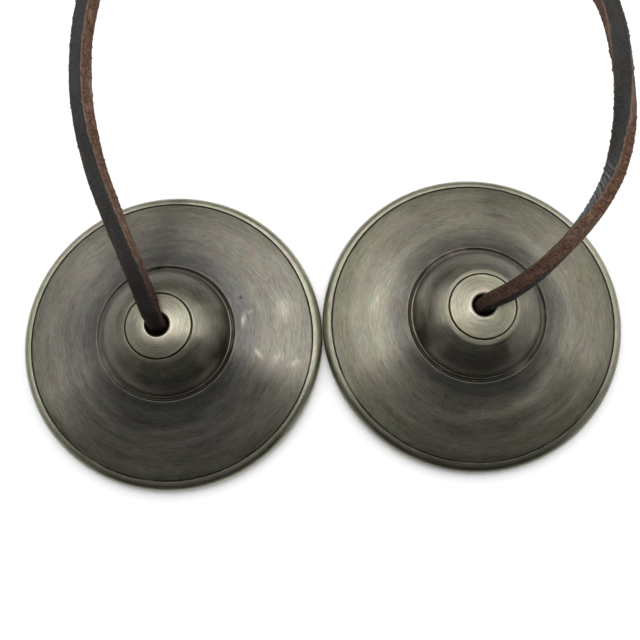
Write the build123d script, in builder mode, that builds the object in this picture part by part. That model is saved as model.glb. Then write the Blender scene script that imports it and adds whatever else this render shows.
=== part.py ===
"""Tingsha: two small turned bronze cymbals that hang on the ends of one leather thong.

Millimetres, +Z up. The origin is on the table, midway between the cymbals, and +X runs from the
left cymbal's hole to the right one's. The cymbals lie domes up with their rims together. The thong
leaves each hole, arches away over the rims and comes down behind them, where its crown lies on the
table. Inside each dome a knot stops the thong from pulling through.
"""

import os
from math import pi, radians, sqrt, tan

from build123d import *

# Cymbal, outside
cymbal_radius = 32.5
rim_gap = 0.3
rim_thickness = 3.7
rim_drop = 0.4
rim_top_round = 1.2
rim_foot_round = 0.8
dome_radius = 15.0
dome_foot_inset = 1.45
dome_foot_height = 10.0
bow_hollow = 0.25

# Cymbal, inside
dome_wall = 3.0
dome_root = 2.35
seat_width = 2.5
mouth_round = 0.5
hole_foot_round = 0.3

# Turned lines on the cymbal
rim_groove_inset = 2.0
cap_groove_radius = 6.75
fine_groove_width = 0.45
fine_groove_depth = 0.3
bead_width = 0.4
bead_height = 0.2
foot_groove_width = 0.7
foot_groove_depth = 0.4
foot_groove_drop = 0.25

# Thong, a lace cut from thick hide
thong_width = 3.5
thong_thickness = 3.0
thong_corner = 0.7
hole_clearance = 0.5
bend_rise = 2.2
table_clearance = 0.1

# Stopper knot
knot_radius = 4.5
knot_height = 7.8
knot_round = 2.5
knot_clearance = 0.3

# Sizes that follow from the ones above
hole_x = cymbal_radius + rim_gap / 2
hole_radius = (thong_width + 2 * hole_clearance) / 2
dome_foot_radius = dome_radius - dome_foot_inset
dome_centre_height = dome_foot_height - sqrt(dome_radius**2 - dome_foot_radius**2)
inner_dome_radius = dome_radius - dome_wall
inner_foot_radius = dome_foot_radius - dome_root
seat_inner_radius = cymbal_radius - rim_foot_round - seat_width
bead_edge_radius = dome_foot_radius + bead_width
bow_inner_radius = bead_edge_radius + foot_groove_width
bow_inner_height = dome_foot_height - foot_groove_drop
rim_groove_radius = cymbal_radius - rim_groove_inset


def dome_height(radius_at, sphere_radius):
    """Height of the dome's outer or inner sphere at a distance from the cymbal's axis."""
    return dome_centre_height + sqrt(sphere_radius**2 - radius_at**2)


def dome_arc(start_radius, end_radius, sphere_radius):
    """Arc of the dome's outer or inner sphere between two distances from the cymbal's axis."""
    stops = (start_radius, (start_radius + end_radius) / 2, end_radius)
    return ThreePointArc(*[(stop, dome_height(stop, sphere_radius)) for stop in stops])


def dished_arc(start, end, depth):
    """Shallow arc between two points of the section, its middle lowered by depth."""
    middle = ((start[0] + end[0]) / 2, (start[1] + end[1]) / 2 - depth)
    return ThreePointArc(start, middle, end)


mouth_height = dome_height(hole_radius, dome_radius)
hole_foot_height = dome_height(hole_radius, inner_dome_radius)
half_groove = fine_groove_width / 2
bow_inner_edge = (bow_inner_radius, bow_inner_height)
bead_edge = (bead_edge_radius, bow_inner_height)
rim_groove_inner = (rim_groove_radius - half_groove, rim_thickness)
rim_groove_outer = (rim_groove_radius + half_groove, rim_thickness)
rim_top_edge = (cymbal_radius, rim_thickness - rim_drop)
rim_foot_edge = (cymbal_radius, 0)
seat_inner_edge = (seat_inner_radius, 0)
inner_foot = (inner_foot_radius, dome_height(inner_foot_radius, inner_dome_radius))
hole_foot_edge = (hole_radius, hole_foot_height)
mouth_edge = (hole_radius, mouth_height)

# The knot's rounded shoulder lies a clearance inside the inner sphere of the dome
shoulder_radius = knot_radius - knot_round
shoulder_reach = inner_dome_radius - knot_clearance - knot_round
knot_top = dome_centre_height + sqrt(shoulder_reach**2 - shoulder_radius**2) + knot_round
bend_height = mouth_height + bend_rise
crown_height = thong_thickness / 2 + table_clearance

os.makedirs("parts", exist_ok=True)

for side, place in (("left", -hole_x), ("right", hole_x)):
    cymbal_axis = Axis((place, 0, 0), (0, 0, 1))
    section = Plane(origin=(place, 0, 0), x_dir=(1, 0, 0), z_dir=(0, -1, 0))

    with BuildPart() as cymbal:
        with BuildSketch(section) as profile:
            with BuildLine():
                Line(hole_foot_edge, mouth_edge)
                cap = dome_arc(hole_radius, cap_groove_radius - half_groove, dome_radius)
                shoulder = dome_arc(cap_groove_radius + half_groove, dome_foot_radius, dome_radius)
                dished_arc(tuple(cap @ 1)[:2], tuple(shoulder @ 0)[:2], fine_groove_depth)
                dished_arc(tuple(shoulder @ 1)[:2], bead_edge, -bead_height)
                dished_arc(bead_edge, bow_inner_edge, foot_groove_depth)
                dished_arc(bow_inner_edge, rim_groove_inner, bow_hollow)
                dished_arc(rim_groove_inner, rim_groove_outer, fine_groove_depth)
                Polyline(rim_groove_outer, rim_top_edge, rim_foot_edge, seat_inner_edge, inner_foot)
                dome_arc(inner_foot_radius, hole_radius, inner_dome_radius)
            make_face()
            corner_rounds = (
                (rim_top_edge, rim_top_round),
                (rim_foot_edge, rim_foot_round),
                (mouth_edge, mouth_round),
                (hole_foot_edge, hole_foot_round),
            )
            for corner, round_radius in corner_rounds:
                fillet(profile.vertices().sort_by_distance((*corner, 0))[0], radius=round_radius)
        revolve(axis=cymbal_axis)
    cymbal.part.label = f"{side}_cymbal"
    export_step(cymbal.part, f"parts/{side}_cymbal.step")

    with BuildPart() as knot:
        with BuildSketch(section) as barrel:
            with BuildLine():
                Polyline(
                    (0, knot_top - knot_height),
                    (knot_radius, knot_top - knot_height),
                    (knot_radius, knot_top),
                    (0, knot_top),
                    close=True,
                )
            make_face()
            fillet(barrel.vertices().group_by(Axis.X)[-1], radius=knot_round)
        revolve(axis=cymbal_axis)
    knot.part.label = f"{side}_knot"
    export_step(knot.part, f"parts/{side}_knot.step")

# The thong's route from the left knot to the right one: out of the hole, up and back in an arch,
# down to the crown on the table and home the same way. A stretch of it is named with its corners,
# and ends halfway to the next one's first corner, where the route is straight
route_start = Vector(-hole_x, 0, knot_top)
route_end = Vector(hole_x, 0, knot_top)
crown_start = Vector(2.0, 106.0, crown_height)
crown_end = Vector(15.0, 106.0, crown_height)
stretch_corners = {
    "left_thong_end": [],
    "left_thong_bend": [
        Vector(-hole_x, 0, bend_height),
        Vector(-34.0, 5.2, 22.6),
    ],
    "left_thong": [
        Vector(-36.3, 12.2, 25.0),
        Vector(-39.0, 20.6, 28.6),
        Vector(-41.3, 29.3, 32.0),
        Vector(-42.7, 39.7, 35.0),
        Vector(-42.3, 50.0, 37.0),
        Vector(-40.5, 61.0, 37.6),
        Vector(-37.0, 73.0, 35.4),
        Vector(-30.5, 84.5, 29.0),
        Vector(-21.5, 94.0, 19.0),
    ],
    "thong_crown": [
        Vector(-10.5, 101.5, 9.0),
        crown_start,
        crown_end,
        Vector(26.0, 100.5, 7.5),
    ],
    "right_thong": [
        Vector(36.5, 91.5, 17.5),
        Vector(45.5, 80.5, 27.5),
        Vector(52.0, 69.0, 34.4),
        Vector(56.8, 57.8, 37.2),
        Vector(59.0, 47.4, 37.4),
        Vector(59.4, 36.4, 36.4),
        Vector(58.6, 26.8, 34.4),
        Vector(56.2, 18.8, 31.6),
        Vector(51.4, 12.2, 28.4),
        Vector(45.4, 6.4, 25.2),
    ],
    "right_thong_bend": [
        Vector(37.6, 1.4, 22.6),
        Vector(hole_x, 0, bend_height),
    ],
    "right_thong_end": [],
}
route = [route_start, *sum(stretch_corners.values(), []), route_end]

runs = [after - before for before, after in zip(route, route[1:])]
turns = [first.get_angle(second) for first, second in zip(runs, runs[1:])]
arc_share = 0.45
bend_radii = [
    arc_share * min(first.length, second.length) / tan(radians(turn) / 2)
    for first, second, turn in zip(runs, runs[1:], turns)
]
print("thong turns, degrees", [round(turn, 1) for turn in turns])
print("thong bend radii, mm", [round(bend_radius, 1) for bend_radius in bend_radii])

# The lace lies flat on the table at its crown and doesn't twist: from there its width direction
# turns only with the route
crown_run = route.index(crown_start)
widths = [runs[crown_run].cross(Vector(0, 0, 1)).normalized()]
for first, second, turn in zip(runs[crown_run:], runs[crown_run + 1 :], turns[crown_run:]):
    widths.append(widths[-1].rotate(Axis((0, 0, 0), first.cross(second)), turn))
for first, second, turn in zip(runs[crown_run - 1 :: -1], runs[crown_run:0:-1], turns[crown_run - 1 :: -1]):
    widths.insert(0, widths[0].rotate(Axis((0, 0, 0), second.cross(first)), turn))

section_area = thong_width * thong_thickness - (4 - pi) * thong_corner**2
thong_length = 0
passed = []
start = route_start
for name, corners in stretch_corners.items():
    first_run = len(passed)
    passed += corners
    last_run = len(passed)
    halfway = (route[last_run] + route[last_run + 1]) / 2
    stop = route_end if name == "right_thong_end" else halfway
    with BuildPart() as stretch:
        with BuildLine() as path:
            if corners:
                FilletPolyline(start, *corners, stop, radius=bend_radii[first_run:last_run])
            else:
                Line(start, stop)
        with BuildSketch(Plane(origin=start, x_dir=widths[first_run], z_dir=runs[first_run])):
            RectangleRounded(thong_width, thong_thickness, thong_corner)
        sweep(path=path.wires()[0])
    length = path.wires()[0].length
    share = stretch.part.volume / (section_area * length)
    print(f"{name}: {length:.1f} mm, volume over section times length {share:.4f}")
    thong_length += length
    stretch.part.label = name
    export_step(stretch.part, f"parts/{name}.step")
    start = stop
print(f"thong from knot to knot: {thong_length:.1f} mm")
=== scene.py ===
# %% [markdown]
# # A tingsha: two turned bronze cymbals on one leather thong
# A tingsha is a pair of small thick cymbals that ring when their rims are struck together. The CAD
# model gives the sizes and the joints. This file gives the same pieces their looks: turned and
# darkened bronze, and a lace cut from thick hide. Everything is in metres, in the CAD model's frame.

import bpy
import numpy as np
from mathutils import Matrix


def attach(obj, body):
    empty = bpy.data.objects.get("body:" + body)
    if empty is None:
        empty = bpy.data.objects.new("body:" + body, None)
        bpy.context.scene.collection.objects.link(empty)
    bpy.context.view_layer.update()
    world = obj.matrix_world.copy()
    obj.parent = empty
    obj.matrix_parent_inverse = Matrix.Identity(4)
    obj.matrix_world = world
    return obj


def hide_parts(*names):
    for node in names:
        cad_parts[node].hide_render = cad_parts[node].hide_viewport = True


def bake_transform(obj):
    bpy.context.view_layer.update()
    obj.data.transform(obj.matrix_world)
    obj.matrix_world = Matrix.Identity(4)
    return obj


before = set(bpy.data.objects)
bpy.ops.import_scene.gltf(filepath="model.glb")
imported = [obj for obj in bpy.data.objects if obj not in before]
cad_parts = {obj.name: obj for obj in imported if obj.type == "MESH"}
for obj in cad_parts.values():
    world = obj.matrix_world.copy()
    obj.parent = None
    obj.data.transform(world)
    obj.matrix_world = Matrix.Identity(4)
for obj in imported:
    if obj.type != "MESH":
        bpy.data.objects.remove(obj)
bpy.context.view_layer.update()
scene = bpy.context.scene
scene.view_settings.view_transform = "Standard"
mm = 0.001

# %% [markdown]
# ## The camera
# The picture was taken from close above, with the camera tipped a little away from straight down.
# Its place and turn were worked out from the ellipses that the turned rings make in the picture. A
# camera could be aimed at a point with a constraint, but that can't give it a roll. So its own axes
# are set here as the columns of a matrix: to the image's right, up, and backwards.

# %% Make the camera
image_side = 640
focal_length = 800
axis_pixel = (331.6, 325.35)
camera_place = np.array([2.2, -34.6, 173.7]) * mm
pan, tilt, roll = np.radians([0.19, 11.73, -3.62])

across = np.array([np.cos(pan), np.sin(pan), 0])
away = np.array([-np.sin(pan), np.cos(pan), 0])
upright = np.array([0, 0, 1])
look = away * np.sin(tilt) - upright * np.cos(tilt)
over = away * np.cos(tilt) + upright * np.sin(tilt)
image_right = across * np.cos(roll) + over * np.sin(roll)
image_up = over * np.cos(roll) - across * np.sin(roll)

camera_data = bpy.data.cameras.new("camera")
camera_data.lens = focal_length / image_side * camera_data.sensor_width
camera_data.shift_x = (image_side / 2 - axis_pixel[0]) / image_side
camera_data.shift_y = (axis_pixel[1] - image_side / 2) / image_side
camera_data.clip_start = 0.01
camera = bpy.data.objects.new("camera", camera_data)
scene.collection.objects.link(camera)
turn = Matrix(np.column_stack([image_right, image_up, -look]).tolist()).to_4x4()
camera.matrix_world = Matrix.Translation(camera_place) @ turn
scene.camera = camera
print("lens, mm:", round(camera_data.lens, 2))

# %% [markdown]
# ## The thong's line
# The thong is one lace, knotted inside each dome. It comes up out of the left hole, arches back
# over the rims, lies on the table at its crown and goes home to the right hole. Leather bends in
# smooth curves, so its line is a NURBS spline with the CAD route's points as control points.
# Blender works out the spline, and the points on it are read from a mesh made of the bare curve.

# %% Read points along the thong's line
steps_per_span = 56
route = [
    (-32.65, 0, 15.05),
    (-32.65, 0, 20.60),
    (-34.0, 5.2, 22.6),
    (-36.3, 12.2, 25.0),
    (-39.0, 20.6, 28.6),
    (-41.3, 29.3, 32.0),
    (-42.7, 39.7, 35.0),
    (-42.3, 50.0, 37.0),
    (-40.5, 61.0, 37.6),
    (-37.0, 73.0, 35.4),
    (-30.5, 84.5, 29.0),
    (-21.5, 94.0, 19.0),
    (-10.5, 101.5, 9.0),
    (2.0, 106.0, 1.6),
    (15.0, 106.0, 1.6),
    (26.0, 100.5, 7.5),
    (36.5, 91.5, 17.5),
    (45.5, 80.5, 27.5),
    (52.0, 69.0, 34.4),
    (56.8, 57.8, 37.2),
    (59.0, 47.4, 37.4),
    (59.4, 36.4, 36.4),
    (58.6, 26.8, 34.4),
    (56.2, 18.8, 31.6),
    (51.4, 12.2, 28.4),
    (45.4, 6.4, 25.2),
    (37.6, 1.4, 22.6),
    (32.65, 0, 20.60),
    (32.65, 0, 15.05),
]


def spline_points(controls, steps):
    """Points on the quadratic NURBS spline of the control points, which starts and ends on them."""
    curve = bpy.data.curves.new("thong_line", "CURVE")
    curve.dimensions = "3D"
    spline = curve.splines.new("NURBS")
    spline.points.add(len(controls) - 1)
    spline.points.foreach_set("co", np.column_stack([controls, np.ones(len(controls))]).ravel())
    spline.order_u = 3
    spline.use_endpoint_u = True
    spline.resolution_u = steps
    carrier = bpy.data.objects.new("thong_line", curve)
    line = bpy.data.meshes.new_from_object(carrier)
    found = np.empty(len(line.vertices) * 3)
    line.vertices.foreach_get("co", found)
    bpy.data.objects.remove(carrier)
    bpy.data.curves.remove(curve)
    bpy.data.meshes.remove(line)
    return found.reshape(-1, 3)


def distance_along(points):
    """Distance from the first point to each one, added up from step to step."""
    steps = np.linalg.norm(np.diff(points, axis=0), axis=1)
    return np.concatenate([[0], np.cumsum(steps)])


thong_line = spline_points(np.array(route) * mm, steps_per_span)
thong_along = distance_along(thong_line)
print("thong line:", len(thong_line), "points,", round(thong_along[-1] / mm, 1), "mm")

# %% [markdown]
# ## Surfaces from arrays
# Every new piece here is a grid of points: one direction runs along or outwards, the other goes
# round and closes on itself. One function turns such a grid into a mesh of quads. A tube gets its
# two ends closed by flat faces, and a ring that closes both ways has no ends. The sign of the volume
# says whether the faces point outwards, and they are turned round if they don't.

# %% A function that turns a grid into a piece
attribute_kinds = {3: ("FLOAT_VECTOR", "vector"), 4: ("FLOAT_COLOR", "color")}


def grid_piece(name, grid, ring=False, attributes={}):
    """Mesh with the vertices grid[i, j]: j goes round, and i closes on itself too if ring is true.

    A quad joins each point to the next ones in i and j. UV holds the share of the way in i and in j.
    """
    rows, columns = grid.shape[:2]
    spans = rows if ring else rows - 1
    index = np.arange(rows * columns).reshape(rows, columns)
    here = index[:spans]
    ahead = np.roll(index, -1, axis=0)[:spans]
    quads = np.stack([here, ahead, np.roll(ahead, -1, 1), np.roll(here, -1, 1)], -1).reshape(-1, 4)
    i, j = [k.ravel() for k in np.meshgrid(np.arange(spans), np.arange(columns), indexing="ij")]
    i_share = np.stack([i, i + 1, i + 1, i], -1) / spans
    j_share = np.stack([j, j, j + 1, j + 1], -1) / columns
    uv = np.stack([i_share, j_share], -1)

    corner = grid.reshape(-1, 3)[quads]
    sideways = np.cross(corner[:, 1], corner[:, 3])
    volume = np.einsum("ij,ij->i", corner[:, 0] - corner[:, 2], sideways).sum()
    if volume < 0:
        quads, uv = quads[:, ::-1], uv[:, ::-1]
    faces = quads.tolist()
    uv = uv.reshape(-1, 2)
    if not ring:
        first, last = (index[0], index[-1, ::-1]) if volume > 0 else (index[0, ::-1], index[-1])
        faces += [first.tolist(), last.tolist()]
        share = np.linspace(0, 1, columns)
        first_uv, last_uv = [np.column_stack([0 * share + end, share]) for end in (0, 1)]
        uv = np.concatenate([uv, first_uv, last_uv])

    mesh = bpy.data.meshes.new(name)
    mesh.from_pydata(grid.reshape(-1, 3).tolist(), [], faces)
    mesh.uv_layers.new(name="surface").data.foreach_set("uv", uv.ravel())
    for key, values in attributes.items():
        kind, field = attribute_kinds[values.shape[-1]]
        layer = mesh.attributes.new(key, kind, "POINT")
        layer.data.foreach_set(field, values.astype(np.float32).ravel())
    mesh.polygons.foreach_set("use_smooth", np.ones(len(faces), bool))
    mesh.validate()
    piece = bpy.data.objects.new(name, mesh)
    scene.collection.objects.link(piece)
    print(f"{name}: {len(mesh.vertices)} vertices, {len(faces)} faces")
    return piece


# %% [markdown]
# ## The lace's section
# The lace is cut from hide about 3 mm thick: two dark faces, the grain and the flesh side, and two
# raw cut edges in the hide's own brown. Its section is a rectangle with rounded corners, and in the
# hole and the knot it is squeezed rounder. The section could be drawn as a curve bevel, but then the
# faces and edges could not be told apart, so it is worked out as points that know their side.

# %% Work out the lace's section
lace_width, lace_thickness, lace_corner = 3.5, 3.0, 0.55
squeezed_width, squeezed_thickness, squeezed_corner = 3.24, 3.0, 1.25
section_points = 64
outline_steps = 401


def rounded_section(width, thickness, corner, count):
    """Points at even distances round a rectangle with corner arcs, and their outward directions."""
    turns = np.linspace(0, 2 * np.pi, outline_steps)
    normal = np.column_stack([np.cos(turns), np.sin(turns)])
    centre = np.sign(normal.round(9)) * (width / 2 - corner, thickness / 2 - corner)
    outline = centre + corner * normal
    along = distance_along(outline)
    evenly = np.linspace(0, along[-1], count, endpoint=False)
    return [np.column_stack([np.interp(evenly, along, v) for v in part.T]) for part in (outline, normal)]


flat_section, flat_normal = rounded_section(lace_width, lace_thickness, lace_corner, section_points)
squeezed_section, squeezed_normal = rounded_section(
    squeezed_width, squeezed_thickness, squeezed_corner, section_points
)
print("section points:", section_points, "round", round(distance_along(flat_section)[-1], 1), "mm")

# %% [markdown]
# ## The hide's relief
# A knife leaves the cut edges fuzzy, with tufts of fibre here and there, and the faces nearly smooth.
# Where the right leg bends sharply, its grain face is pressed into slanted wrinkles about a
# millimetre apart. A displacement modifier with a texture would roughen every side alike. Soft noise
# that is weighed by each point's side roughens the edges most, and the finish can use those weights.

# %% Functions for the relief
fuzz_height, wave_height = 0.012, 0.04
edge_fuzz_height, tuft_height = 0.05, 0.24
wrinkle_spacings, wrinkle_slant, wrinkle_depth = (0.95, 1.63), 0.55, 0.09


def soft_noise(rows, columns, row_width, column_width, seed):
    """Random heights with a spread of 1, smoothed by bell curves of those widths in cells, wrapping round."""
    rough = np.random.default_rng(seed).standard_normal((rows, columns))
    row_wave, column_wave = np.fft.fftfreq(rows)[:, None], np.fft.fftfreq(columns)[None, :]
    bell = np.exp(-2 * np.pi**2 * ((row_width * row_wave) ** 2 + (column_width * column_wave) ** 2))
    smooth = np.fft.ifft2(np.fft.fft2(rough) * bell).real
    return smooth / smooth.std()


def hide_relief(section, normal, along_mm, creases, seed):
    """Heights on the lace in mm, and how far each point is on a cut edge and on a paler place: rubbed, with a
    painted highlight.

    A point that faces sideways is on a cut edge. Tufts stand where soft noise passes its spread. Wrinkles
    are two cosine waves of the distance along, slanted across the face. The paler places are the edge's
    corner, rubbed and with a painted highlight, and the crests, worn and with a painted sheen.
    """
    shape = section.shape[:2]
    fuzz = soft_noise(*shape, 0.7, 0.7, seed)
    waves = soft_noise(*shape, 12, 6, seed + 1)
    frayed = np.abs(normal[..., 0]) + 0.08 * soft_noise(*shape, 2.5, 1.0, seed + 2)
    cut = np.clip((frayed - 0.62) / 0.2, 0, 1)
    corner = np.exp(-(((frayed - 0.8) / 0.12) ** 2))
    tufts = np.clip((soft_noise(*shape, 1.2, 1.0, seed + 3) - 1.0) / 1.6, 0, 1)
    edge_relief = edge_fuzz_height * np.abs(fuzz) + tuft_height * tufts
    relief = fuzz_height * fuzz + wave_height * waves + cut * edge_relief

    slanted = along_mm[:, None] + wrinkle_slant * section[..., 0] + 0.12 * soft_noise(*shape, 3, 3, seed + 4)
    fine_turns, wide_turns = [2 * np.pi * slanted / spacing for spacing in wrinkle_spacings]
    wrinkles = np.cos(fine_turns) + 0.8 * np.cos(wide_turns + 1)
    pressed = creases[:, None] * np.clip(normal[..., 1], 0, 1)
    relief = relief - wrinkle_depth * pressed * np.clip(0.5 + wrinkles, 0, None)
    # The paler places: the edge's corner, rubbed and with a painted highlight, and the crease crests, worn
    # and with a painted sheen
    rubbed = corner * cut + pressed * np.clip(0.25 - 0.3 * wrinkles, 0, 0.7) * (1 - cut)
    return relief, cut, rubbed


sample = soft_noise(100, section_points, 0.7, 0.7, 1)
print("fuzz spread on the faces, mm:", round(fuzz_height * sample.std(), 3))

# %% [markdown]
# ## Carrying the section along a line
# A lace could be a curve object with a bevel, but its twist would then be set by Blender's own rule.
# Here the section is carried along the line by arrays. The direction across it lies level and square
# to the line's heading, and a roll turns the section from there.

# %% Functions that carry the section
upright_slope = 0.35


def level_frame(points):
    """Directions along, across (level) and out of a line; an upright stretch keeps the heading beside it."""
    tangent = np.gradient(points, axis=0)
    tangent /= np.linalg.norm(tangent, axis=1)[:, None]
    sloped = np.hypot(tangent[:, 0], tangent[:, 1]) > upright_slope
    along = distance_along(points)
    turned = np.unwrap(np.arctan2(tangent[sloped, 1], tangent[sloped, 0]))
    heading = np.interp(along, along[sloped], turned)
    side = np.column_stack([np.sin(heading), -np.cos(heading), 0 * heading])
    return tangent, side, np.cross(side, tangent)


def carry_section(name, points, side, out, roll_degrees, squeeze, along_mm, creases, grease_and_shade, seed):
    """Tube: point + x * (side turned by the roll) + y * (out turned by the roll).

    x and y are the section's, blended from flat to squeezed and pushed outwards by the relief. Each point
    keeps its place in the hide, how far it is cut, how far it is paled by a rub and a painted highlight,
    and how far it is darkened by grease and painted shade.
    """
    blend = squeeze[:, None, None]
    section = flat_section * (1 - blend) + squeezed_section * blend
    normal = flat_normal * (1 - blend) + squeezed_normal * blend
    relief, cut, rubbed = hide_relief(section, normal, along_mm, creases, seed)
    section = section + normal * relief[..., None]
    turn = np.radians(roll_degrees)[:, None]
    width_axis = np.cos(turn) * side - np.sin(turn) * out
    depth_axis = np.sin(turn) * side + np.cos(turn) * out
    offset = section[..., :1] * width_axis[:, None] + section[..., 1:] * depth_axis[:, None]
    along = np.broadcast_to(along_mm[:, None, None], (len(points), section_points, 1))
    place = np.concatenate([section, along], -1)
    # Each point's cut, its paler share, a rub with a painted highlight, and its darkening, grease with
    # painted shade
    finish = np.stack(np.broadcast_arrays(cut, rubbed, grease_and_shade[:, None]), -1)
    attributes = {"hide_place": place, "hide_finish": finish}
    return grid_piece(name, points[:, None] + mm * offset, attributes=attributes)


tangent, side, out = level_frame(thong_line)
print("steepest part of the lace, degrees:", round(np.degrees(np.arcsin(np.abs(tangent[:, 2]).max()))))

# %% [markdown]
# ## Roll, squeeze, creases and darkening
# In the picture the left leg shows a dark face on its outer side and a brown edge inside, and the
# right leg twists by more than a quarter turn near its hole. So the roll is a table: a distance
# along the lace in millimetres, and an angle in degrees. A moving average rounds its corners. Close to
# the domes the lace is darkest: grease from the hands that hold it there, and painted shade.

# %% Tables along the lace
lace_mm = thong_along / mm
lace_length = lace_mm[-1]
left_rolls = [(0, -4), (4, -4), (9, -14), (20, -19), (31, -20), (38, -23), (44, -31), (55, -29), (66, -25)]
crown_rolls = [(100, -18), (138, 0), (168, 0), (215, -8)]
right_rolls = [(239, -3), (245, 12), (251, 22), (257, 37), (268, 60), (281, 82), (288, 94), (297, 99)]
stations, angles = np.array([*left_rolls, *crown_rolls, *right_rolls, (lace_length, 98)]).T
roll_window = np.hanning(61)
roll_padded = np.pad(np.interp(lace_mm, stations, angles), len(roll_window) // 2, mode="edge")
lace_roll = np.convolve(roll_padded, roll_window / roll_window.sum(), mode="valid")


def ease(share):
    """Smooth step: a share s, kept from 0 to 1, becomes s^2 * (3 - 2 * s)."""
    share = np.clip(share, 0, 1)
    return share**2 * (3 - 2 * share)


squeezed_until, flat_from = 4, 9
from_end = np.minimum(lace_mm, lace_length - lace_mm)
lace_squeeze = np.clip((flat_from - from_end) / (flat_from - squeezed_until), 0, 1)
crease_middle, crease_reach = 275, 6
lace_creases = np.exp(-(((lace_mm - crease_middle) / crease_reach) ** 4))
# Grease and painted shade: fully dark for 7 or 8 mm from an end, then fading over 16 mm on the left leg and
# 30 mm on the right
left_grease_and_shade = 1.3 * (1 - ease((lace_mm - 7) / 16))
right_grease_and_shade = 1.15 * (1 - ease((lace_length - lace_mm - 8) / 30))
lace_grease_and_shade = left_grease_and_shade + right_grease_and_shade
print("lace length, mm:", round(lace_length, 1))

# %% [markdown]
# ## Three stretches of the lace
# When the thong is lifted it bends at the holes, and when the cymbals are brought together it bends
# at its crown. A piece can bend across one joint only, so the lace is made in three stretches that
# meet end to end: a left leg, the crown and a right leg.

# %% Make the three stretches
crown_ends = ((-16.0, 97.75, 14.0), (31.25, 96.0, 12.5))
from_crown_ends = [np.linalg.norm(thong_line - np.array(end) * mm, axis=1) for end in crown_ends]
cuts = [0, *[int(np.argmin(distances)) for distances in from_crown_ends], len(thong_line) - 1]
laces = {}
for order, lace_name in enumerate(("left_lace", "crown_lace", "right_lace")):
    part = slice(cuts[order], cuts[order + 1] + 1)
    laces[lace_name] = carry_section(
        lace_name,
        thong_line[part],
        side[part],
        out[part],
        lace_roll[part],
        lace_squeeze[part],
        lace_mm[part],
        lace_creases[part],
        lace_grease_and_shade[part],
        seed=10 * (order + 1),
    )

# %% [markdown]
# ## The stretches in place
# Each stretch's place is baked into its mesh, and the CAD model's thong pieces that the three stand for
# are hidden.

# %% Bake the stretches and hide the CAD thong
hole_x = 32.65 * mm
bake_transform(laces["left_lace"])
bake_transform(laces["crown_lace"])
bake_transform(laces["right_lace"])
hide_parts("left_thong_end", "left_thong_bend", "left_thong")
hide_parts("thong_crown")
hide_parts("right_thong", "right_thong_bend", "right_thong_end")
print("laces:", list(laces))

# %% [markdown]
# ## The stopper knots
# An overhand knot is a trefoil that has been cut open, with one end led up to the hole and the other
# left as a short tail. Its line is a torus knot's: while the angle goes twice round, the distance
# from the axis and the height wave three times. Pulled tight, the lace is squeezed round in the knot.
# A ball would fill the same room, but from below the knot's turns can be seen.

# %% Work out the knot's line
knot_steps = 241
end_share = 0.13
knot_ring, knot_wave = 2.6, 1.0
knot_height, knot_swing = 11.1, 1.45
rise_to_hole, drop_to_tail = 3.95, 5.2

knot_share = np.linspace(0, 1, knot_steps)
knot_angle = 2 * np.pi * knot_share
to_hole = ease((end_share - knot_share) / end_share)
to_tail = ease((knot_share - (1 - end_share)) / end_share)
knot_distance = (knot_ring + knot_wave * np.cos(3 * knot_angle)) * (1 - to_hole)
knot_level = knot_height + knot_swing * np.sin(3 * knot_angle)
knot_level += rise_to_hole * to_hole - drop_to_tail * to_tail
knot_line = np.column_stack(
    [knot_distance * np.cos(2 * knot_angle), knot_distance * np.sin(2 * knot_angle), knot_level]
)
knot_tangent = np.gradient(knot_line, axis=0)
knot_tangent /= np.linalg.norm(knot_tangent, axis=1)[:, None]
# Away from the axis, with a small fixed part so that it never vanishes on the axis
outwards = knot_line * (1, 1, 0) / 3 + (0.25, 0.15, 0)
knot_side = np.cross(knot_tangent, outwards)
knot_side /= np.linalg.norm(knot_side, axis=1)[:, None]
knot_out = np.cross(knot_side, knot_tangent)
knot_mm = distance_along(knot_line)
print("knot line, mm:", round(knot_mm[-1], 1))

# %% [markdown]
# ## Two knots
# One line serves both knots: each is carried to its own hole, and another seed gives it its own fuzz.
# A copy that shares a mesh would be lighter, but the two would be twins to the last fibre.

# %% Tie the two knots
nowhere, everywhere = np.zeros(knot_steps), np.ones(knot_steps)
knots = {}
for hand, place, seed in (("left", -hole_x, 50), ("right", hole_x, 60)):
    knots[hand] = carry_section(
        f"{hand}_stopper_knot",
        knot_line * mm + (place, 0, 0),
        knot_side,
        knot_out,
        roll_degrees=nowhere,
        squeeze=everywhere,
        along_mm=knot_mm,
        creases=nowhere,
        # The knots are darkened all through: grease and painted shade
        grease_and_shade=everywhere,
        seed=seed,
    )
    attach(knots[hand], f"{hand}_end")
    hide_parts(f"{hand}_knot")

# %% [markdown]
# ## The cords' facts
# The picture shows 67 mm of the left leg and 74 mm of the right one. The rest of the lace is a length
# that such pairs have, so that the cymbals hang about a hand's breadth below the fingers.

# %% [markdown]
# ## Stretches of the cymbal's profile
# Each cymbal is turned on a lathe, so it is one profile spun about its axis. The profile could be
# drawn as a curve and spun by a screw modifier. It is worked out as arrays instead, so that each of
# its points can carry a tone. It needs three kinds of stretch: a hollowed line, an arc of the dome
# and a rounded corner. Points are a distance from the axis and a height, in millimetres.

# %% Functions for the profile
dome_centre = 3.566


def bunched(count):
    """Shares from 0 to 1 that crowd towards both ends, so that smooth shading keeps the edges crisp."""
    return (1 - np.cos(np.pi * np.linspace(0, 1, count))) / 2


def dished(start, end, depth, count):
    """Line between two points of the profile whose middle is lowered by depth, as a parabola."""
    share = bunched(count)[:, None]
    line = np.array(start) + share * (np.array(end) - np.array(start))
    return line - np.array([0, 4 * depth]) * share * (1 - share)


def dome_at(distance, radius):
    """Point of the dome's outer or inner sphere: height = centre + sqrt(radius^2 - distance^2)."""
    return (distance, dome_centre + np.sqrt(radius**2 - distance**2))


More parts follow.
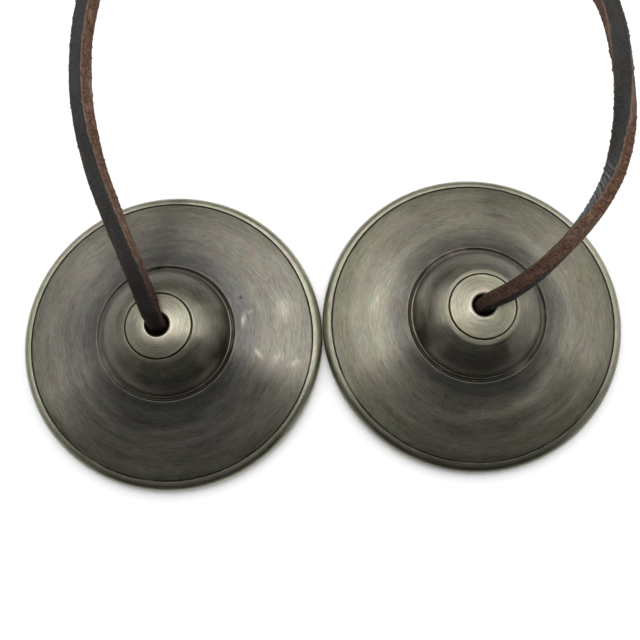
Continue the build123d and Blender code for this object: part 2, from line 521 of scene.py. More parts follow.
def domed(start_radius, end_radius, radius, count, swell=0):
    """Arc of the dome's sphere, swelled outwards most at about three quarters of the way.

    The swelling is 2.6 * swell * (share^2 - share^6), which steepens the arc towards its end.
    """
    share = bunched(count)
    distance = start_radius + share * (end_radius - start_radius)
    arc = np.column_stack([distance, np.sqrt(radius**2 - distance**2)])
    return arc * (1 + 2.6 * swell / radius * (share**2 - share**6))[:, None] + (0, dome_centre)


def rounded(before, corner, after, radius, count):
    """Arc of a fillet in a corner: it touches both lines, so its centre lies on their bisector."""
    corner = np.array(corner)
    first, second = [(p - corner) / np.linalg.norm(p - corner) for p in (np.array(before), np.array(after))]
    half = np.arccos(first @ second) / 2
    bisector = (first + second) / np.linalg.norm(first + second)
    centre = corner + bisector * radius / np.sin(half)
    start, end = [corner + way * radius / np.tan(half) - centre for way in (first, second)]
    sweep = np.pi - 2 * half
    share = np.linspace(0, 1, count)[:, None]
    return centre + (start * np.sin((1 - share) * sweep) + end * np.sin(share * sweep)) / np.sin(sweep)


print("centre of the dome's spheres above the table, mm:", dome_centre)

# %% [markdown]
# ## Places on the profile
# The profile runs out from the hole over the dome, the bead and the bow to the rim, and back
# underneath. The sizes are the CAD model's, apart from the rim: it is 0.1 mm wider and its round is
# larger, because in the picture the two rims nearly touch and shine in a broad band.

# %% Work out the places
cymbal_radius, rim_thickness, rim_edge_height = 32.6, 3.7, 3.12
rim_round_radius, foot_round_radius, seat_radius = 2.0, 0.8, 29.2
rim_groove_radius, rim_groove_half, rim_groove_depth = 30.5, 0.19, 0.22
dome_radius, dome_foot_radius, dome_swell = 15.0, 13.55, 0.28
inner_radius, inner_foot_radius = 12.0, 11.2
hole_radius, mouth_round_radius, hole_foot_round_radius = 2.25, 0.5, 0.3
cap_groove_radius, cap_groove_half, cap_groove_depth = 6.75, 0.225, 0.3
bow_hollow = 0.25

mouth, hole_foot = dome_at(hole_radius, dome_radius), dome_at(hole_radius, inner_radius)
beside_mouth, beside_foot = dome_at(2.9, dome_radius), dome_at(2.7, inner_radius)
mouth_round = rounded(hole_foot, mouth, beside_mouth, mouth_round_radius, 9)
hole_foot_round = rounded(beside_foot, hole_foot, mouth, hole_foot_round_radius, 6)
groove_in, groove_out = cap_groove_radius - cap_groove_half, cap_groove_radius + cap_groove_half
cap_edge, shoulder_edge = dome_at(groove_in, dome_radius), dome_at(groove_out, dome_radius)
dome_foot, bead_edge = dome_at(dome_foot_radius, dome_radius), (13.8, 9.88)
channel_floor, bow_edge, bow_start = (13.95, 9.55), (14.45, 9.75), (14.65, 9.77)
rim_in = (rim_groove_radius - rim_groove_half, rim_thickness)
rim_out = (rim_groove_radius + rim_groove_half, rim_thickness)
rim_top, rim_foot, seat_edge = (cymbal_radius, rim_edge_height), (cymbal_radius, 0), (seat_radius, 0)
inner_foot = dome_at(inner_foot_radius, inner_radius)
rim_round = rounded(rim_out, rim_top, rim_foot, rim_round_radius, 20)
foot_round = rounded(rim_top, rim_foot, seat_edge, foot_round_radius, 9)
print("dome above the table, mm:", round(mouth_round[-1][1], 2))

# %% [markdown]
# ## The profile with its tones
# Turned lines are real grooves in the profile. Each stretch also carries the tones of its bronze from
# its start to its end, because wear, patina and painted light follow the turned forms. Round the hole
# and where the rims strike the bronze is worn bright. The lips and the bead are worn and also carry a
# painted highlight, and the grooves, the channel and the dome's foot hold patina and also painted
# shade. A rubbed stretch is a little duller than the satin ones.

# %% Put the profile together
satin, rubbed = 0.29, 0.36
# Lips: wear and a painted highlight. Pits and the channel: patina and painted shade
lip_wear_and_highlight, groove_patina_and_shade, channel_patina_and_shade, struck = "9f9b87", "272520", "2f2d28", "a8a695"
cap_tones = ["a4a08e", "8a8778", "878474", lip_wear_and_highlight]
dome_tones = [lip_wear_and_highlight, "787568", "747265", "636056", "5c594f", "535148"]
# The bead's stretch: painted shade at the dome's foot, then a painted highlight on the bead
bead_tones_shade_and_highlight = ["24221d", "4a463e", "878374", "67645a"]
bow_tones = ["65625c", "5d5b57", "696762", "747168", "79756c", "757267", "69685d", "646257"]
rim_tones = ["737262", "6a685a", "6f6d5e", struck]
profile_stretches = [
    (mouth_round, ["444037", "b1ad9b"], rubbed),
    (domed(mouth_round[-1][0], groove_in, dome_radius, 20), cap_tones, rubbed),
    (dished(cap_edge, shoulder_edge, cap_groove_depth, 9), [lip_wear_and_highlight, groove_patina_and_shade, groove_patina_and_shade, lip_wear_and_highlight], rubbed),
    (domed(groove_out, dome_foot_radius, dome_radius, 34, dome_swell), dome_tones, satin),
    (dished(dome_foot, bead_edge, -0.04, 9), bead_tones_shade_and_highlight, satin),
    (dished(bead_edge, channel_floor, 0, 5), ["47443c", channel_patina_and_shade, channel_patina_and_shade], satin),
    (dished(channel_floor, bow_edge, 0.04, 9), [channel_patina_and_shade, channel_patina_and_shade, "383630", "3e3c36"], satin),
    (dished(bow_edge, bow_start, -0.03, 6), ["3b3934", "4d4b46", "57554f"], satin),
    (dished(bow_start, rim_in, bow_hollow, 64), bow_tones, satin),
    (dished(rim_in, rim_out, rim_groove_depth, 9), ["68665d", groove_patina_and_shade, groove_patina_and_shade, "7d7a6c"], satin),
    (dished(rim_out, rim_round[0], 0, 8), ["7d7a6c", "757466", "737262"], satin),
    (rim_round, rim_tones, satin),
    (dished(rim_round[-1], foot_round[0], 0, 5), [struck, "8a8877"], satin),
    (foot_round, ["585648", "666453"], rubbed),
    (dished(foot_round[-1], seat_edge, 0, 7), ["958e77", "958e77"], rubbed),
    (dished(seat_edge, inner_foot, 0, 18), ["7f775e", "787058", "6f6853"], rubbed),
    (domed(inner_foot_radius, hole_foot_round[0][0], inner_radius, 20), ["645d49", "69624e"], rubbed),
    (hole_foot_round, ["69624e", "514a3c"], rubbed),
    (dished(hole_foot_round[-1], mouth_round[0], 0, 6), ["514a3c", "514a3c"], rubbed),
]


def linear(hex_colour):
    """sRGB hex value to linear light: a share c becomes ((c + 0.055) / 1.055)^2.4, or c / 12.92 if dark."""
    share = np.array([int(hex_colour[k : k + 2], 16) for k in (0, 2, 4)]) / 255
    return np.where(share <= 0.04045, share / 12.92, ((share + 0.055) / 1.055) ** 2.4)


def spread(tones, count):
    """Linear colours at even steps between the given tones, one row each."""
    stops = np.array([linear(tone) for tone in tones])
    share, stop = np.linspace(0, 1, count), np.linspace(0, 1, len(tones))
    return np.column_stack([np.interp(share, stop, channel_stops) for channel_stops in stops.T])


# A stretch's last point is the next one's first, so it is left out
points, tones, roughnesses = [], [], []
for stretch, stretch_tones, stretch_roughness in profile_stretches:
    points.append(stretch[:-1])
    tones.append(spread(stretch_tones, len(stretch))[:-1])
    roughnesses.append(np.full(len(stretch) - 1, stretch_roughness))
profile, profile_tone, profile_roughness = [np.concatenate(rows) for rows in (points, tones, roughnesses)]
profile_mm = distance_along(profile)
print("profile:", len(profile), "points,", round(profile_mm[-1], 1), "mm round")

# %% [markdown]
# ## Wear, painted highlights and painted shade
# Years of striking and handling leave bright scuffs and dark nicks, on each cymbal in other places.
# Other spots are painted light: painted highlights where light falls on the cap, the dome and the bow,
# and painted shade on the sides turned from it, on the near side and beside the other cymbal. A painted
# texture could show them, but each is a simple spot, so a short table says where it lies: distance from
# the axis and half sizes in millimetres, directions in degrees. The clouds at the end of each table are
# broad and faint.

# %% Tables of wear and painted light
left_wear_and_painted_light = [
    (16.3, 6.5, 1.4, 0.4, 75, 1.3),
    (18.0, 12.2, 0.7, 0.35, 15, 0.6),
    (19.7, -15.3, 1.1, 0.35, -40, 1.2),
    # A painted highlight: a broad bright patch where the light falls on the right of the bow
    (25.1, 11.3, 2.4, 1.6, 80, 0.55),
    (23.6, -15.4, 1.8, 1.1, 70, 0.4),
    (27.5, -15, 1.3, 0.5, 40, 0.55),
    (17.2, 23.5, 0.32, 0.28, 0, -0.85),
    (9.6, -88, 0.7, 0.35, 0, 0.5),
    # Painted highlights and painted shade on the cap and the dome: brighter on the right and far right, where
    # the light falls, darker on the near side and the left
    (4.7, 0, 2.2, 1.6, 90, 0.22),
    (4.7, -165, 2.6, 1.7, 90, -0.38),
    (9.0, 0, 2.4, 1.8, 90, 0.35),
    (12.0, -32, 2.6, 1.8, 90, -0.45),
    (11, -135, 4, 2.6, 90, -0.35),
    (12.2, 2, 1.6, 1.4, 90, 0.45),
    (9.0, 55, 1.8, 1.5, 90, 0.3),
    # Broad painted shade on the bow's near right and on its right side, which faces the other cymbal
    (22, -32, 9, 5, 0, -0.34),
    (19.5, 16, 7, 7, 0, -0.2),
]
right_wear_and_painted_light = [
    # A painted highlight: a fan of light on the left of the bow
    (21.6, 167, 2.6, 1.3, 80, 0.28),
    (19.6, -47, 3.2, 1.3, 90, 0.8),
    (20.4, -66, 4.0, 1.3, 90, 0.95),
    (20.8, -90, 4.5, 1.4, 90, 0.65),
    (18.4, -115, 0.3, 0.3, 0, -0.7),
    (24.6, 16, 0.35, 0.3, 0, -0.5),
    # Painted highlights and painted shade on the cap and the dome: brighter where the light falls, darker on
    # the near right
    (4.7, -140, 3.4, 1.7, 90, 0.28),
    (4.7, 115, 2.0, 1.6, 90, -0.2),
    (4.7, -28, 1.7, 1.6, 90, -0.25),
    (12.4, 172, 4.0, 1.5, 90, 1.1),
    (12.4, -47, 3.6, 1.8, 90, -0.45),
    (9.0, -58, 2.5, 1.8, 90, -0.28),
    (9.0, 2, 1.8, 1.6, 90, 0.3),
    (9.0, 105, 3.0, 1.6, 90, 0.25),
    # Four broad clouds of painted light: brighter on the bow's far right, darker on its far left, and painted
    # shade at its left edge beside the other cymbal
    (21, 75, 9, 5, 90, 0.3),
    (20, 135, 8, 6, 90, -0.18),
    (27.5, -165, 9, 2.6, 90, -0.25),
    (28.2, 160, 9, 2.4, 90, -0.22),
    (25, -62, 6, 2.5, 90, 0.35),
]


def wear_and_painted_light_gains(flat, marks):
    """Brightness of each point: 1, plus for each mark its strength times a bell curve along and across it.

    A mark is its distance from the axis and its direction round it, its half length and half width, its
    turn from the outward direction, and its strength. A mark is wear or painted light: a positive strength
    makes a bright scuff or a painted highlight, a negative one a dark nick or painted shade.
    """
    gain = np.ones(flat.shape[:2])
    for distance, direction, half_length, half_width, turn, strength in marks:
        way = np.radians(direction)
        offset = flat - distance * np.array([np.cos(way), np.sin(way)])
        heading = way + np.radians(turn)
        along = offset @ np.array([np.cos(heading), np.sin(heading)])
        beside = offset @ np.array([-np.sin(heading), np.cos(heading)])
        gain += strength * np.exp(-((along / half_length) ** 2) - (beside / half_width) ** 2)
    return gain


print("marks:", len(left_wear_and_painted_light), "and", len(right_wear_and_painted_light))

# %% [markdown]
# ## How worn each cymbal is, and its rim's painted highlight
# The picture shows two cymbals of one profile with unlike wear. The right one's cap is brighter and
# duller, a ring of its bow is polished, and its bow is a little yellower. Each rim is brighter all round,
# and a painted highlight makes it brighter still on its far side, towards the lights. All of this, and
# the spots of wear and painted light, is on the outside only: the underside keeps its turned finish.

# %% Zones of the profile and the wear and painted light in them
outside = np.arange(len(profile)) < np.argmax(profile[:, 0])
on_cap = (profile_mm < 6.5) & (profile[:, 1] > 15)
on_bow = outside & (profile[:, 0] > 14.8) & (profile[:, 0] < 30.2)
on_rim = outside & (profile[:, 0] > 30.7)
polished_ring, ring_reach = 20.2, 2.2
ring_share = on_bow * np.exp(-(((profile[:, 0] - polished_ring) / ring_reach) ** 2))
# The rim's three values: how much brighter it is all round, how far a painted highlight swings that, and the
# direction of that highlight, on the far side towards the lights
wear_and_painted_light = {
    "left": dict(
        cap=0.86, cap_roughness=0.34, ring=0.0, tint=(1, 1, 1), rim=(0.66, 0.38, 105), marks=left_wear_and_painted_light
    ),
    "right": dict(
        cap=1.15, cap_roughness=0.5, ring=0.36, tint=(0.99, 1, 0.92), rim=(0.42, 0.58, 75), marks=right_wear_and_painted_light
    ),
}


def patina_wear_and_painted_light(flat, spin, cap, cap_roughness, ring, tint, rim, marks):
    """Tone times cap, ring, rim and mark gains for each point, with its roughness as a fourth value."""
    rim_base, rim_highlight_swing, rim_highlight_direction = rim
    # A painted highlight brightens each rim's far side, towards the lights
    rim_gain_with_highlight = 1 + on_rim[:, None] * (rim_base + rim_highlight_swing * np.cos(spin - np.radians(rim_highlight_direction)))
    mark_gain = np.where(outside[:, None], wear_and_painted_light_gains(flat, marks), 1)
    turned_gain = (1 + ring * ring_share) * np.where(on_cap, cap, 1)
    gain = turned_gain[:, None] * (rim_gain_with_highlight * mark_gain)
    tinted = profile_tone * np.where(on_bow[:, None], tint, 1)
    roughness = np.where(on_cap, cap_roughness, profile_roughness)
    roughness = np.broadcast_to(roughness[:, None, None], (*gain.shape, 1))
    return np.concatenate([tinted[:, None] * gain[..., None], roughness], -1)


print("points on cap, bow and rim:", on_cap.sum(), on_bow.sum(), on_rim.sum())

# %% [markdown]
# ## Spinning the profile
# The profile is spun through 360 places. Each point takes its patina and painted light along, and its
# place on the lathe: where it lies round the axis and how far along the profile. The finish draws its
# rings with that place. The second cymbal reads another part of the pattern, so that the two aren't twins.

# %% Spin the two cymbals
spin_count = 360
spin = np.linspace(0, 2 * np.pi, spin_count, endpoint=False)
pattern_shift = 31
flat = profile[:, :1, None] * np.stack([np.cos(spin), np.sin(spin)], -1)
heights = np.broadcast_to(profile[:, 1:, None], (len(profile), spin_count, 1))
spun = np.concatenate([flat, heights], -1)
cymbals = {}
for hand, place, phase in (("left", -hole_x, 0.0), ("right", hole_x, 2.1)):
    round_x = profile[:, :1] * np.cos(spin + phase)
    round_y = profile[:, :1] * np.sin(spin + phase)
    turning = np.stack(np.broadcast_arrays(round_x, round_y, profile_mm[:, None] + pattern_shift * phase), -1)
    # Patina and wear with painted light: the rim's painted highlight and the painted highlights and shade of
    # the tables
    patina_and_painted_light = patina_wear_and_painted_light(flat, spin, **wear_and_painted_light[hand])
    cymbals[hand] = grid_piece(
        f"{hand}_turned_cymbal",
        spun * mm + (place, 0, 0),
        ring=True,
        attributes={"turning": turning, "patina_and_painted_light": patina_and_painted_light},
    )
    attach(cymbals[hand], f"{hand}_cymbal")
    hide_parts(f"{hand}_cymbal")

# %% [markdown]
# ## Materials from nodes
# A material is a small network: attributes and noise go in, and colours, roughness and bumps go to the
# surface shader. Building it by hand in the editor can't be repeated, so one function adds a node and
# links it, and another starts a material.

# %% Functions for materials
def add(tree, kind, links={}, **settings):
    """Adds a node of that kind, sets its own settings, and links or sets its input sockets."""
    node = tree.nodes.new(kind)
    for key, value in settings.items():
        setattr(node, key, value)
    for key, value in links.items():
        if isinstance(value, bpy.types.NodeSocket):
            tree.links.new(value, node.inputs[key])
        else:
            node.inputs[key].default_value = value
    return node


def rgba(hex_colour):
    """Linear colour with full cover, as a colour socket wants it."""
    return (*linear(hex_colour), 1)


def fresh_material(name):
    """Empty node material with its surface shader; gives the material, the tree and the shader."""
    material = bpy.data.materials.new(name)
    material.use_nodes = True
    tree = material.node_tree
    tree.nodes.clear()
    shader = add(tree, "ShaderNodeBsdfPrincipled")
    add(tree, "ShaderNodeOutputMaterial", {"Surface": shader.outputs["BSDF"]})
    return material, tree, shader


# %% [markdown]
# ## Turned bell bronze
# Bell bronze is copper with about a fifth of tin. Turned on a lathe, darkened and rubbed back, it
# keeps fine rings from the tool and the abrasive. The rings could be an image, but noise that is
# stretched round the axis never repeats and needs no file. Each pattern has a length round the
# cymbal and a width along the profile.

# %% Ring patterns of the bronze
bronze, tree, shader = fresh_material("turned bell bronze")
turning = add(tree, "ShaderNodeAttribute", attribute_name="turning").outputs["Vector"]
patina_and_painted_light = add(tree, "ShaderNodeAttribute", attribute_name="patina_and_painted_light")
# Lengths and widths in mm. Real scratches are a few hundredths of a millimetre wide, which is less
# than a pixel here, so the scratches and the fine rings are drawn coarser than they are
ring_sizes = {"scratch": (1.7, 0.2), "fine": (6.7, 0.38), "broad": (14, 1.8), "patch": (9, 6)}
rings = {}
for key, (length, width) in ring_sizes.items():
    stretched = add(
        tree,
        "ShaderNodeVectorMath",
        {0: turning, 1: (1 / length, 1 / length, 1 / width)},
        operation="MULTIPLY",
    )
    noise = add(
        tree,
        "ShaderNodeTexNoise",
        {"Vector": stretched.outputs["Vector"], "Scale": 1.0, "Detail": 3.0, "Roughness": 0.6},
    )
    rings[key] = noise.outputs["Fac"]
print("ring patterns:", list(rings))

# %% [markdown]
# ## The bronze's colour
# The patina is grey brown with a breath of other tints, and it is thinner in patches where the metal
# shows paler. The rings swing its brightness, the scratches most. These are multiplied onto the tone
# that each point carries, so that lips, grooves, worn places and painted light stay as they are.

# %% Colour the bronze
toned = patina_and_painted_light.outputs["Color"]
for key, swing in (("scratch", 0.28), ("fine", 0.1), ("broad", 0.1)):
    light = add(
        tree,
        "ShaderNodeMapRange",
        {"Value": rings[key], "From Min": 0.3, "From Max": 0.7, "To Min": 1 - swing, "To Max": 1 + swing},
    )
    gain = light.outputs["Result"]
    scaled = add(tree, "ShaderNodeVectorMath", {0: toned, "Scale": gain}, operation="SCALE")
    toned = scaled.outputs["Vector"]
tint_size = 4.2
tint_place = add(tree, "ShaderNodeVectorMath", {0: turning, 1: (1 / tint_size,) * 3}, operation="MULTIPLY")
tints = add(
    tree, "ShaderNodeTexNoise", {"Vector": tint_place.outputs["Vector"], "Scale": 1.0, "Detail": 2.0}
)
tint_swing = 0.2
faint_tints = add(
    tree,
    "ShaderNodeVectorMath",
    {0: tints.outputs["Color"], 1: (tint_swing,) * 3, 2: (1 - tint_swing / 2,) * 3},
    operation="MULTIPLY_ADD",
)
tinted = add(tree, "ShaderNodeVectorMath", {0: toned, 1: faint_tints.outputs["Vector"]}, operation="MULTIPLY")
worn_share = add(
    tree,
    "ShaderNodeMapRange",
    {"Value": rings["patch"], "From Min": 0.5, "From Max": 0.72, "To Min": 0.0, "To Max": 0.3},
)
worn = add(
    tree,
    "ShaderNodeMix",
    {"Factor": worn_share.outputs["Result"], 6: tinted.outputs["Vector"], 7: rgba("91877d")},
    data_type="RGBA",
)
tree.links.new(worn.outputs[2], shader.inputs["Base Color"])
print("bronze colour nodes:", len(tree.nodes))

# %% [markdown]
# ## The bronze's shine
# The turned rings spread a highlight across them, so the light falls into fans that run out from the
# middle. Grooves as fine as that can't be meshed. The shader's anisotropy does it, along the UV
# direction that runs out over the profile. A very low bump adds the larger rings.

# %% Give the bronze its shine
uneven = add(
    tree,
    "ShaderNodeMapRange",
    {"Value": rings["broad"], "From Min": 0.3, "From Max": 0.7, "To Min": 0.9, "To Max": 1.1},
)
roughness = add(
    tree,
    "ShaderNodeMath",
    {0: patina_and_painted_light.outputs["Alpha"], 1: uneven.outputs["Result"]},
    operation="MULTIPLY",
)
ring_depth = 0.03 * mm
ring_height = add(tree, "ShaderNodeMath", {0: rings["fine"], 1: rings["scratch"]}, operation="ADD")
tool_rings = add(
    tree,
    "ShaderNodeBump",
    {"Height": ring_height.outputs["Value"], "Strength": 0.3, "Distance": ring_depth},
)
tangent_along = add(tree, "ShaderNodeTangent", direction_type="UV_MAP", uv_map="surface")
tree.links.new(roughness.outputs["Value"], shader.inputs["Roughness"])
tree.links.new(tool_rings.outputs["Normal"], shader.inputs["Normal"])
tree.links.new(tangent_along.outputs["Tangent"], shader.inputs["Tangent"])
shader.inputs["Metallic"].default_value = 1.0
shader.inputs["Anisotropic"].default_value = 0.75
for piece in cymbals.values():
    piece.data.materials.append(bronze)
print("bronze nodes:", len(tree.nodes))

# %% [markdown]
# ## Cut hide
# Veg-tanned hide, dyed dark on its faces and cut into a lace: the dye doesn't reach into the cut, so
# the edges are the hide's brown, fibrous and dull, and the faces are dark with a fine pebbled grain.
# Two materials would meet in a hard line. One material that tells the two apart by the weights that
# the section gave each point lets the dye end in a ragged one.

# %% Patterns of the hide
leather, tree, shader = fresh_material("dyed cut hide")
place = add(tree, "ShaderNodeAttribute", attribute_name="hide_place").outputs["Vector"]
finish = add(tree, "ShaderNodeAttribute", attribute_name="hide_finish").outputs["Vector"]
cut, rubbed_and_highlight_share, grease_and_shade = add(tree, "ShaderNodeSeparateXYZ", {"Vector": finish}).outputs
# Sizes in mm. Bundles of fibre and pebbles of the grain are about half as large on real hide; they are
# drawn coarser so that they show
fibre_width, fibre_length, cloud_width, cloud_length, pebble_size = 0.28, 0.45, 2, 9, 0.38
fibre_scales = (1 / fibre_width, 1 / fibre_width, 1 / fibre_length)
cloud_scales = (1 / cloud_width, 1 / cloud_width, 1 / cloud_length)
fibre_place = add(tree, "ShaderNodeVectorMath", {0: place, 1: fibre_scales}, operation="MULTIPLY")
cloud_place = add(tree, "ShaderNodeVectorMath", {0: place, 1: cloud_scales}, operation="MULTIPLY")
fibres = add(
    tree,
    "ShaderNodeTexNoise",
    {"Vector": fibre_place.outputs["Vector"], "Scale": 1.0, "Detail": 4.0, "Roughness": 0.7},
).outputs["Fac"]
clouds = add(
    tree, "ShaderNodeTexNoise", {"Vector": cloud_place.outputs["Vector"], "Scale": 1.0, "Detail": 2.0}
).outputs["Fac"]
pebbles = add(
    tree, "ShaderNodeTexVoronoi", {"Vector": place, "Scale": 1 / pebble_size}, feature="DISTANCE_TO_EDGE"
).outputs["Distance"]
pale_share = add(
    tree, "ShaderNodeMapRange", {"Value": clouds, "From Min": 0.48, "From Max": 0.7, "To Max": 0.55}
).outputs["Result"]
print("hide pattern nodes:", len(tree.nodes))

# %% [markdown]
# ## The cut edges' colour
# The raw edge shows fibres from dark to light brown, faded in clouds, and the corner to the face is
# paler: rubbed, and with a painted highlight where the round catches the light. A colour ramp on the
# fibre pattern gives the browns, and two mixes lay the rest on.

# %% Colour the cut edges
edge_browns = ((0.36, "35221b"), (0.5, "573c30"), (0.64, "7c5e4c"))
edge_colour = add(tree, "ShaderNodeValToRGB", {"Fac": fibres})
stops = edge_colour.color_ramp.elements
for order, (position, colour) in enumerate(edge_browns):
    stop = stops[0] if order == 0 else stops.new(position)
    stop.position, stop.color = position, rgba(colour)
stops.remove(stops[-1])
faded_edge = add(
    tree,
    "ShaderNodeMix",
    {"Factor": pale_share, 6: edge_colour.outputs["Color"], 7: rgba("685749")},
    data_type="RGBA",
)
# The corner's paler brown: a rub and a painted highlight
corner_highlight_share = add(tree, "ShaderNodeMath", {0: rubbed_and_highlight_share, 1: clouds}, operation="MULTIPLY")
rubbed_and_highlit_edge = add(
    tree,
    "ShaderNodeMix",
    {"Factor": corner_highlight_share.outputs["Value"], 6: faded_edge.outputs[2], 7: rgba("8b735e")},
    data_type="RGBA",
)
print("edge browns:", len(edge_browns))

# %% [markdown]
# ## The faces' colour
# The dye is nearly black and worn thin in clouds, and the crests of the creases are a bluish grey:
# worn dye with a painted sheen. Then the face and the edge are mixed by the cut's weight, and grease of
# hands and painted shade darken both, the edge a little less.

# %% Colour the faces and the whole lace
face_fibres = add(tree, "ShaderNodeMapRange", {"Value": fibres, "From Min": 0.32, "From Max": 0.68})
dyed_face = add(
    tree,
    "ShaderNodeMix",
    {"Factor": face_fibres.outputs["Result"], 6: rgba("141311"), 7: rgba("393632")},
    data_type="RGBA",
)
thin_dye = add(
    tree,
    "ShaderNodeMix",
    {"Factor": pale_share, 6: dyed_face.outputs[2], 7: rgba("3e3c38")},
    data_type="RGBA",
)
# The crease crests in bluish grey: worn dye and a painted sheen
creased_face_with_sheen = add(
    tree,
    "ShaderNodeMix",
    {"Factor": rubbed_and_highlight_share, 6: thin_dye.outputs[2], 7: rgba("78797d")},
    data_type="RGBA",
)
clean_hide = add(
    tree,
    "ShaderNodeMix",
    {"Factor": cut, 6: creased_face_with_sheen.outputs[2], 7: rubbed_and_highlit_edge.outputs[2]},
    data_type="RGBA",
)
# Darkening near the holes and in the knots: grease of hands and painted shade, less on the edges
darkening_on_edges = add(tree, "ShaderNodeMapRange", {"Value": cut, "To Min": 1.0, "To Max": 0.73})
grease_and_shade_share = add(
    tree,
    "ShaderNodeMath",
    {0: grease_and_shade, 1: darkening_on_edges.outputs["Result"]},
    operation="MULTIPLY",
    use_clamp=True,
)
hide_colour = add(
    tree,
    "ShaderNodeMix",
    {"Factor": grease_and_shade_share.outputs["Value"], 6: clean_hide.outputs[2], 7: rgba("7d736d")},
    data_type="RGBA",
    blend_type="MULTIPLY",
)
tree.links.new(hide_colour.outputs[2], shader.inputs["Base Color"])
print("hide colour nodes:", len(tree.nodes))

# %% [markdown]
# ## The hide's surface
# The faces are half dull with pebbles, and the edges are as dull as felt with fibres. The pebbles and
# fibres are about a tenth of a millimetre high, too small to mesh, so they are a bump.

# %% Give the hide its surface
hide_roughness = add(tree, "ShaderNodeMapRange", {"Value": cut, "To Min": 0.52, "To Max": 0.92})
grain_height = add(tree, "ShaderNodeMapRange", {"Value": pebbles, "From Max": 0.25})
hide_height = add(
    tree,
    "ShaderNodeMix",
    {"Factor": cut, 2: grain_height.outputs["Result"], 3: fibres},
    data_type="FLOAT",
)
relief_depth = 0.12 * mm
hide_bump = add(
    tree,
    "ShaderNodeBump",
    {"Height": hide_height.outputs[0], "Strength": 0.6, "Distance": relief_depth},
)
tree.links.new(hide_roughness.outputs["Result"], shader.inputs["Roughness"])
tree.links.new(hide_bump.outputs["Normal"], shader.inputs["Normal"])
shader.inputs["Specular IOR Level"].default_value = 0.25
for piece in (*laces.values(), *knots.values()):
    piece.data.materials.append(leather)
print("leather nodes:", len(tree.nodes))

# %% [markdown]
# ## White paper
# The pair lies on white paper that stays white to the edge of the picture. More light would bleach
# the bronze too, so the far paper glows to the camera instead: near the pair the panels light it, and
# from 0.2 m to 0.6 m away its own light takes over. Reflections see a part of that glow, and the
# paper's lit colour keeps the shadows.

# %% Make the paper
def flat_sheet(name, x_reach, y_near, y_far, height):
    """Level rectangle from -x_reach to x_reach and from y_near to y_far."""
    mesh = bpy.data.meshes.new(name)
    sides = [(-x_reach, y_near), (x_reach, y_near), (x_reach, y_far), (-x_reach, y_far)]
    mesh.from_pydata([(*side, height) for side in sides], [], [(0, 1, 2, 3)])
    sheet = bpy.data.objects.new(name, mesh)
    scene.collection.objects.link(sheet)
    return sheet


paper_reach, paper_height = 2.0, -2e-5
paper_floor = flat_sheet("paper_floor", paper_reach, -paper_reach, paper_reach, paper_height)
paper, tree, shader = fresh_material("white paper")
rays = add(tree, "ShaderNodeLightPath")
direct = add(
    tree,
    "ShaderNodeMath",
    {0: rays.outputs["Is Camera Ray"], 1: rays.outputs["Is Transmission Ray"]},
    operation="MAXIMUM",
)
paper_place = add(tree, "ShaderNodeTexCoord").outputs["Object"]
distance = add(tree, "ShaderNodeVectorMath", {0: paper_place}, operation="LENGTH").outputs["Value"]
seen_glow = add(
    tree,
    "ShaderNodeMapRange",
    {"Value": distance, "From Min": 0.2, "From Max": 0.6, "To Min": 0.1, "To Max": 1.0},
)
mirrored = add(tree, "ShaderNodeMath", {0: rays.outputs["Is Glossy Ray"], 1: 0.25}, operation="MULTIPLY")
own_light = add(
    tree,
    "ShaderNodeMath",
    {0: direct.outputs["Value"], 1: seen_glow.outputs["Result"], 2: mirrored.outputs["Value"]},
    operation="MULTIPLY_ADD",
)
tree.links.new(own_light.outputs["Value"], shader.inputs["Emission Strength"])
# Uncoated paper is matt: a clean white with no shine
shader.inputs["Base Color"].default_value = rgba("f4f5f5")
shader.inputs["Roughness"].default_value = 0.9
shader.inputs["Emission Color"].default_value = (1, 1, 1, 1)
paper_floor.data.materials.append(paper)
print("paper side, m:", 2 * paper_reach)

# %% [markdown]
# ## A black card and a dim room
# In the picture the near sides of the domes and bows are dark, as metal is that mirrors something
# dark in front of it. A photographer lays a black card there. This one is seen by reflections alone,
# so it darkens the metal and leaves the paper white. The room is dim to the metal and white to the
# camera.

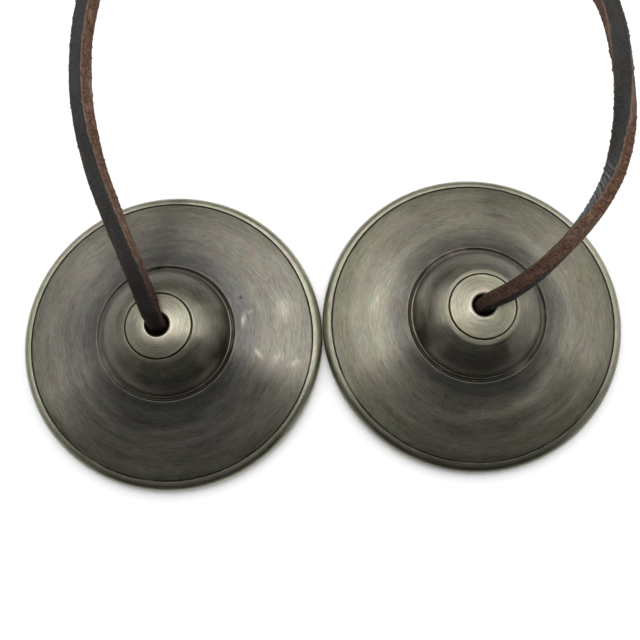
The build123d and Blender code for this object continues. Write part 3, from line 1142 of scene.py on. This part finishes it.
# %% Make the card and the room
card_reach, card_far, card_height = 0.4, -0.044, 1e-5
near_flag = flat_sheet("near_flag", card_reach, -card_reach, card_far, card_height)
near_flag.visible_camera = False
near_flag.visible_diffuse = False
near_flag.visible_shadow = False
near_flag.visible_transmission = False
black_card, tree, shader = fresh_material("black card")
# Dyed card is matt too, and its black is a dark grey
shader.inputs["Base Color"].default_value = rgba("262626")
shader.inputs["Roughness"].default_value = 0.9
near_flag.data.materials.append(black_card)

room = bpy.data.worlds.new("room")
scene.world = room
room.use_nodes = True
tree = room.node_tree
tree.nodes.clear()
dim_room = 0.075
rays = add(tree, "ShaderNodeLightPath")
level_seen = add(
    tree,
    "ShaderNodeMix",
    {"Factor": rays.outputs["Is Camera Ray"], 2: dim_room, 3: 1.0},
    data_type="FLOAT",
)
glow = add(tree, "ShaderNodeBackground", {"Color": (1, 1, 1, 1), "Strength": level_seen.outputs[0]})
add(tree, "ShaderNodeOutputWorld", {"Surface": glow.outputs["Background"]})
print("room's brightness to the metal:", dim_room)

# %% [markdown]
# ## Soft panels
# A satin metal shows the shapes of its lights, so small lamps would leave spots. A wide panel behind
# and above lights the far halves of the bows, a smaller key panel makes the bright fans on the caps,
# and a card on each side fills the flanks, the right one more. Each is given as a place, a size and
# a brightness, and its power follows from pi times its area times that brightness.

# %% Hang the panels
facing_down = Matrix()
facing_left = Matrix.Rotation(np.pi / 2, 4, "Y")
facing_right = Matrix.Rotation(-np.pi / 2, 4, "Y")
panels = [
    ("wide_panel", (0, 0.38, 0.6), (1.7, 0.94), 1.8, facing_down),
    ("key_panel", (0.02, 0.1, 0.59), (0.46, 0.38), 1.75, facing_down),
    ("right_card", (0.87, 0, 0.29), (0.55, 1.7), 0.62, facing_left),
    ("left_card", (-0.87, 0, 0.29), (0.55, 1.7), 0.25, facing_right),
]
for panel_name, place, (width, depth), brightness, turn in panels:
    panel = bpy.data.lights.new(panel_name, "AREA")
    panel.shape = "RECTANGLE"
    panel.size = width
    panel.size_y = depth
    panel.energy = np.pi * width * depth * brightness
    lamp = bpy.data.objects.new(panel_name, panel)
    lamp.matrix_world = Matrix.Translation(place) @ turn
    lamp.visible_camera = False
    scene.collection.objects.link(lamp)
    print(panel_name, "watts:", round(panel.energy, 2))
